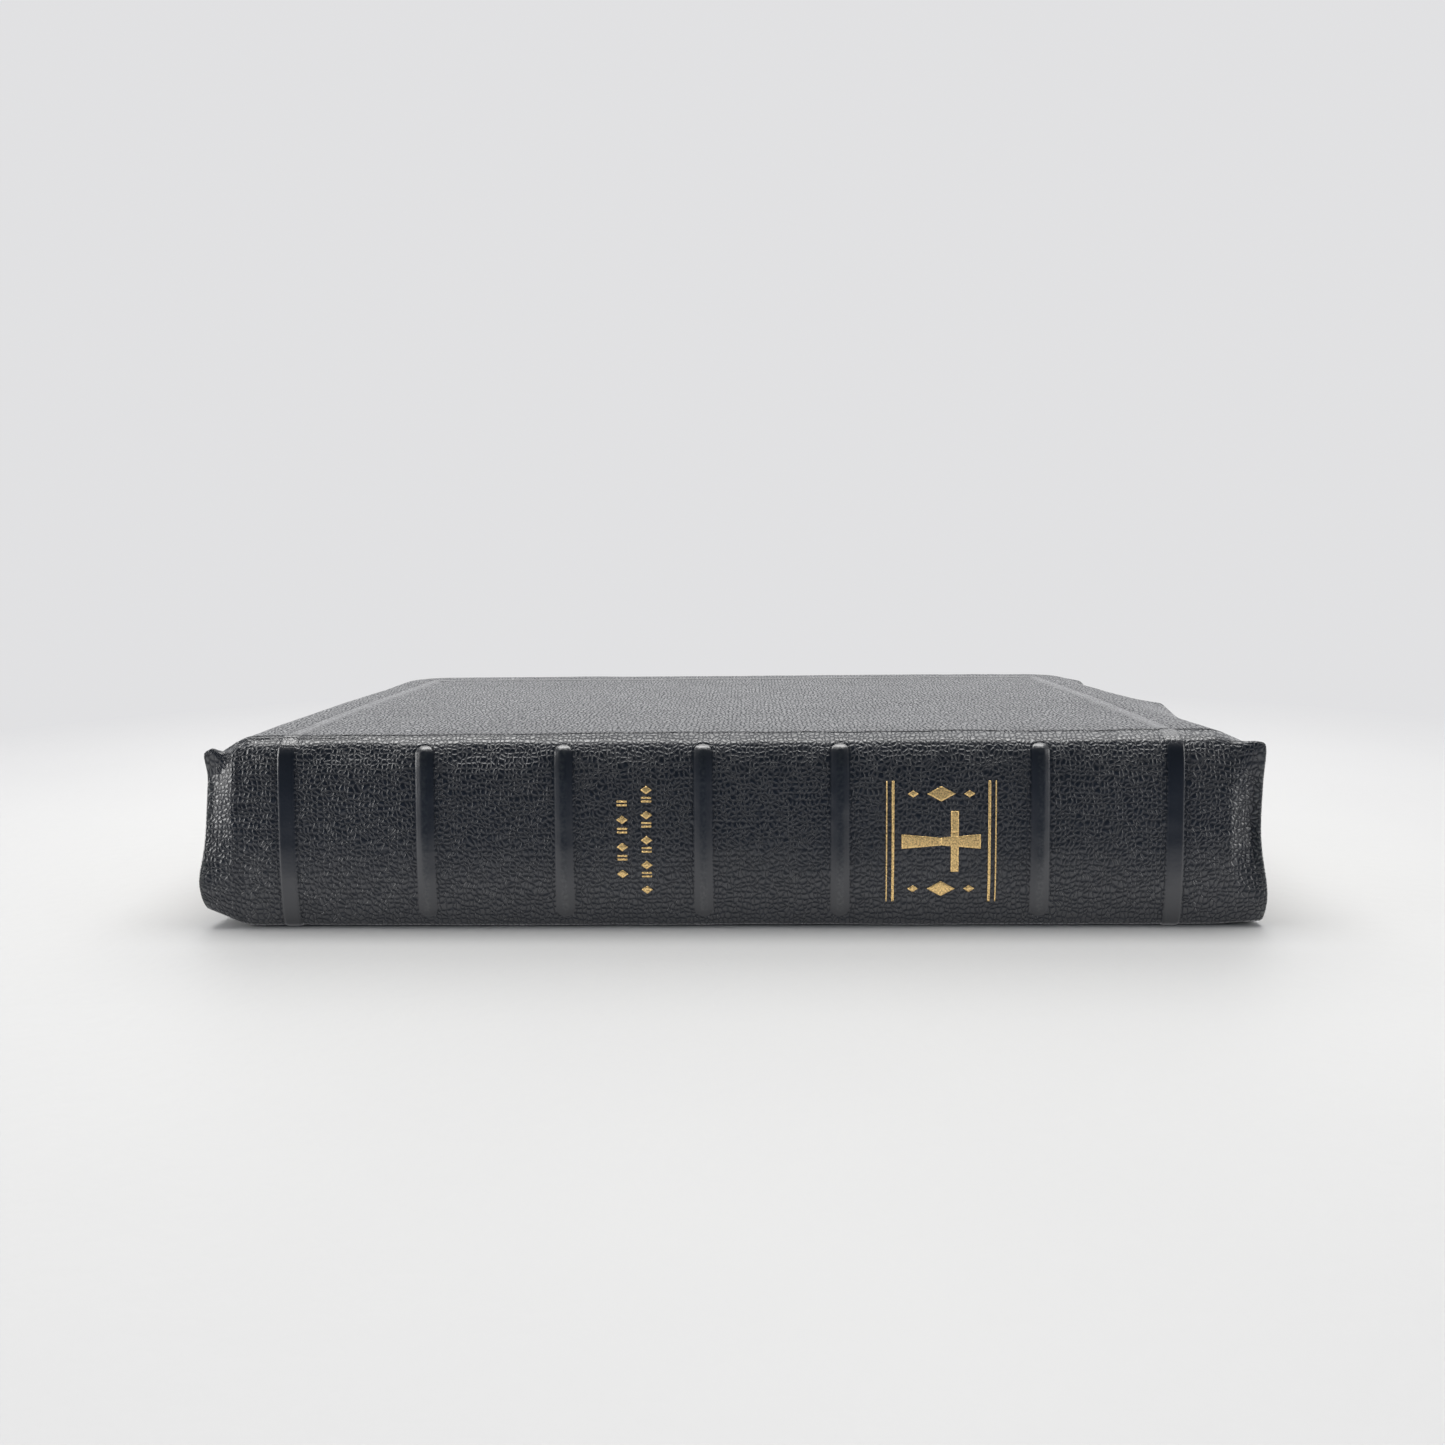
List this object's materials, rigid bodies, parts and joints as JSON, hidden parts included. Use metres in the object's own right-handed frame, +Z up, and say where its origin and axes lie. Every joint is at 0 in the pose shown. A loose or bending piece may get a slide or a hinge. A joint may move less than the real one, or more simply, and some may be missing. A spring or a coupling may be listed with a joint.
{
  "type": "leather-bound bible",
  "caption": "Limp leather-bound bible with raised bands on a rounded spine and soft edges that overlap the pages; its covers open and its leaves part at the middle.",
  "frame": {"origin": "middle of the base: centre of the closed book's outline, on the flat outer side of the front cover it lies on", "axes": "+X along the spine from tail to head, +Y from the spine to the fore-edge, +Z up from the front cover to the back cover"},
  "size_m": [0.233, 0.1484, 0.043],
  "materials": {
    "leather": "black pebble-grained cowhide, satin, burnished on the raised bands and border lines",
    "lining": "smooth black imitation-leather lining",
    "board": "thin grey-brown flexible board",
    "paper": "thin cream bible paper with gilt edges",
    "mull": "open-weave cotton glued over the section folds",
    "endband": "woven red and gold endband",
    "gilding": "gold leaf stamped into the leather and on the page edges"
  },
  "bodies": {
    "front_leaves": {"section_01": "paper", "section_02": "paper", "section_03": "paper", "section_04": "paper", "section_05": "paper", "section_06": "paper", "section_07": "paper", "section_08": "paper", "section_09": "paper", "spine_leather": "leather", "spine_inlay": "board", "spine_liner": "board", "spine_mull": "mull", "raised_band_1": "board", "raised_band_2": "board", "raised_band_3": "board", "raised_band_4": "board", "raised_band_5": "board", "headband": "endband", "tailband": "endband"},
    "front_cover": {"front_cover_leather": "leather", "front_cover_board": "board", "front_cover_lining": "lining"},
    "front_flyleaf": {"front_flyleaf": "paper"},
    "front_fan_outer": {"section_10": "paper", "section_11": "paper", "section_12": "paper", "section_13": "paper"},
    "front_fan_inner": {"section_14": "paper", "section_15": "paper", "section_16": "paper", "leaf_1": "paper", "leaf_2": "paper"},
    "front_middle_leaf": {"leaf_3": "paper"},
    "back_leaves": {"section_24": "paper", "section_25": "paper", "section_26": "paper", "section_27": "paper", "section_28": "paper", "section_29": "paper", "section_30": "paper", "section_31": "paper", "section_32": "paper"},
    "back_cover": {"back_cover_leather": "leather", "back_cover_board": "board", "back_cover_lining": "lining"},
    "back_flyleaf": {"back_flyleaf": "paper"},
    "back_fan_outer": {"section_20": "paper", "section_21": "paper", "section_22": "paper", "section_23": "paper"},
    "back_fan_inner": {"leaf_5": "paper", "leaf_6": "paper", "section_17": "paper", "section_18": "paper", "section_19": "paper"},
    "back_middle_leaf": {"leaf_4": "paper"}
  },
  "joints": [
    {"name": "book_opening", "type": "hinge", "parent": "front_leaves", "child": "back_leaves", "pos_m": [0, -0.07125, 0.02151], "axis": [1, 0, 0], "range_deg": [0, 178], "deforming": ["spine_leather", "spine_inlay", "spine_liner", "spine_mull", "raised_band_1", "raised_band_2", "raised_band_3", "raised_band_4", "raised_band_5", "headband", "tailband"]},
    {"name": "front_cover_hinge", "type": "hinge", "parent": "front_leaves", "child": "front_cover", "pos_m": [0, -0.06945, -0.0002], "axis": [-1, 0, 0], "range_deg": [0, 178], "deforming": ["spine_leather"]},
    {"name": "back_cover_hinge", "type": "hinge", "parent": "back_leaves", "child": "back_cover", "pos_m": [0, -0.06945, 0.04322], "axis": [1, 0, 0], "range_deg": [0, 178], "deforming": ["spine_leather"]},
    {"name": "front_flyleaf_turn", "type": "hinge", "parent": "front_leaves", "child": "front_flyleaf", "pos_m": [0, -0.06945, -0.0002], "axis": [-1, 0, 0], "range_deg": [0, 173]},
    {"name": "back_flyleaf_turn", "type": "hinge", "parent": "back_leaves", "child": "back_flyleaf", "pos_m": [0, -0.06945, 0.04322], "axis": [1, 0, 0], "range_deg": [0, 173]},
    {"name": "front_fan_outer_turn", "type": "hinge", "parent": "front_leaves", "child": "front_fan_outer", "pos_m": [0, -0.07045, 0.0128], "axis": [1, 0, 0], "range_deg": [0, 1.3]},
    {"name": "front_fan_inner_turn", "type": "hinge", "parent": "front_leaves", "child": "front_fan_inner", "pos_m": [0, -0.07085, 0.01732], "axis": [1, 0, 0], "range_deg": [0, 2.6]},
    {"name": "front_middle_leaf_turn", "type": "hinge", "parent": "front_leaves", "child": "front_middle_leaf", "pos_m": [0, -0.07105, 0.02122], "axis": [1, 0, 0], "range_deg": [0, 4.6]},
    {"name": "back_fan_outer_turn", "type": "hinge", "parent": "back_leaves", "child": "back_fan_outer", "pos_m": [0, -0.07045, 0.03022], "axis": [-1, 0, 0], "range_deg": [0, 1.3]},
    {"name": "back_fan_inner_turn", "type": "hinge", "parent": "back_leaves", "child": "back_fan_inner", "pos_m": [0, -0.07085, 0.0257], "axis": [-1, 0, 0], "range_deg": [0, 2.6]},
    {"name": "back_middle_leaf_turn", "type": "hinge", "parent": "back_leaves", "child": "back_middle_leaf", "pos_m": [0, -0.07105, 0.0218], "axis": [-1, 0, 0], "range_deg": [0, 5.5]}
  ],
  "couplings": [
    {"joint": "front_flyleaf_turn", "follows": "front_cover_hinge", "ratio": 0.97},
    {"joint": "back_flyleaf_turn", "follows": "back_cover_hinge", "ratio": 0.97},
    {"joint": "front_fan_outer_turn", "follows": "book_opening", "ratio": 0.0073},
    {"joint": "front_fan_inner_turn", "follows": "book_opening", "ratio": 0.0146},
    {"joint": "front_middle_leaf_turn", "follows": "book_opening", "ratio": 0.0258},
    {"joint": "back_fan_outer_turn", "follows": "book_opening", "ratio": 0.0073},
    {"joint": "back_fan_inner_turn", "follows": "book_opening", "ratio": 0.0146},
    {"joint": "back_middle_leaf_turn", "follows": "book_opening", "ratio": 0.0308}
  ]
}
